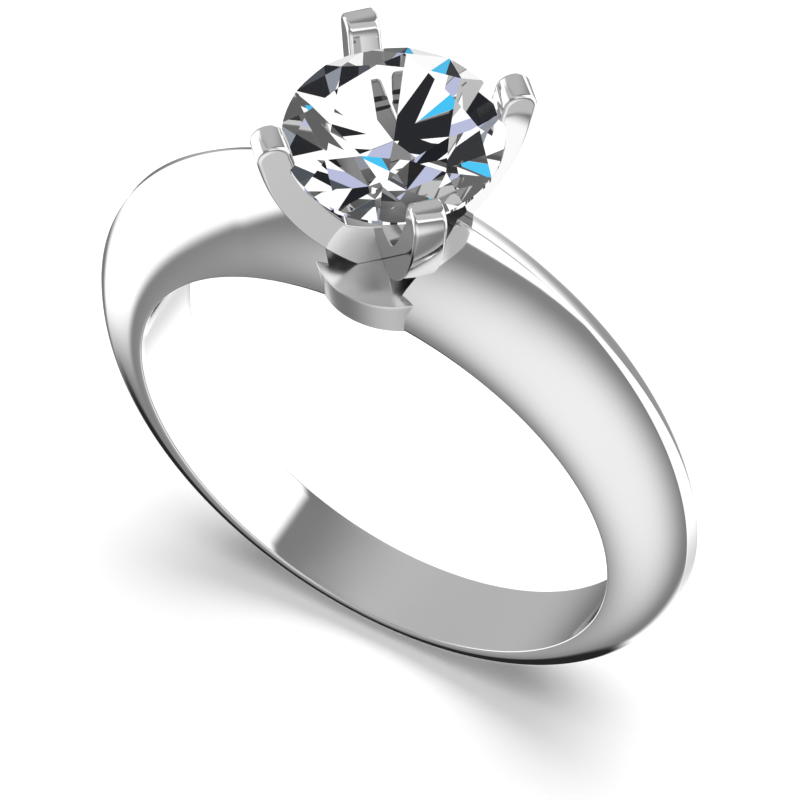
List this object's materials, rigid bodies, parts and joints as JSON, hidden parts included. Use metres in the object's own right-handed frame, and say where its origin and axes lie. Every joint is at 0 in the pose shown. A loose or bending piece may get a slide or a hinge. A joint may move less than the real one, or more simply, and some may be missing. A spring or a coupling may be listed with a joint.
{
  "type": "engagement ring",
  "caption": "Solitaire ring: knife-edge band tapering from head to base, round collet, crossed prong strips and a round brilliant stone.",
  "frame": {"origin": "centre of the finger hole", "axes": "+Y along the finger hole, +Z from the hole's centre up to the stone, +X to the ring's right flank"},
  "size_m": [0.0206, 0.0066, 0.0249],
  "materials": {
    "band_gold": "mirror-polished white gold",
    "head_gold": "mirror-polished white gold",
    "diamond": "polished facets, colourless"
  },
  "bodies": {
    "root": {"shank": "band_gold", "head_base": "head_gold", "prong_strip_left_right": "head_gold", "prong_strip_front_back": "head_gold", "centre_diamond": "diamond"}
  },
  "joints": []
}
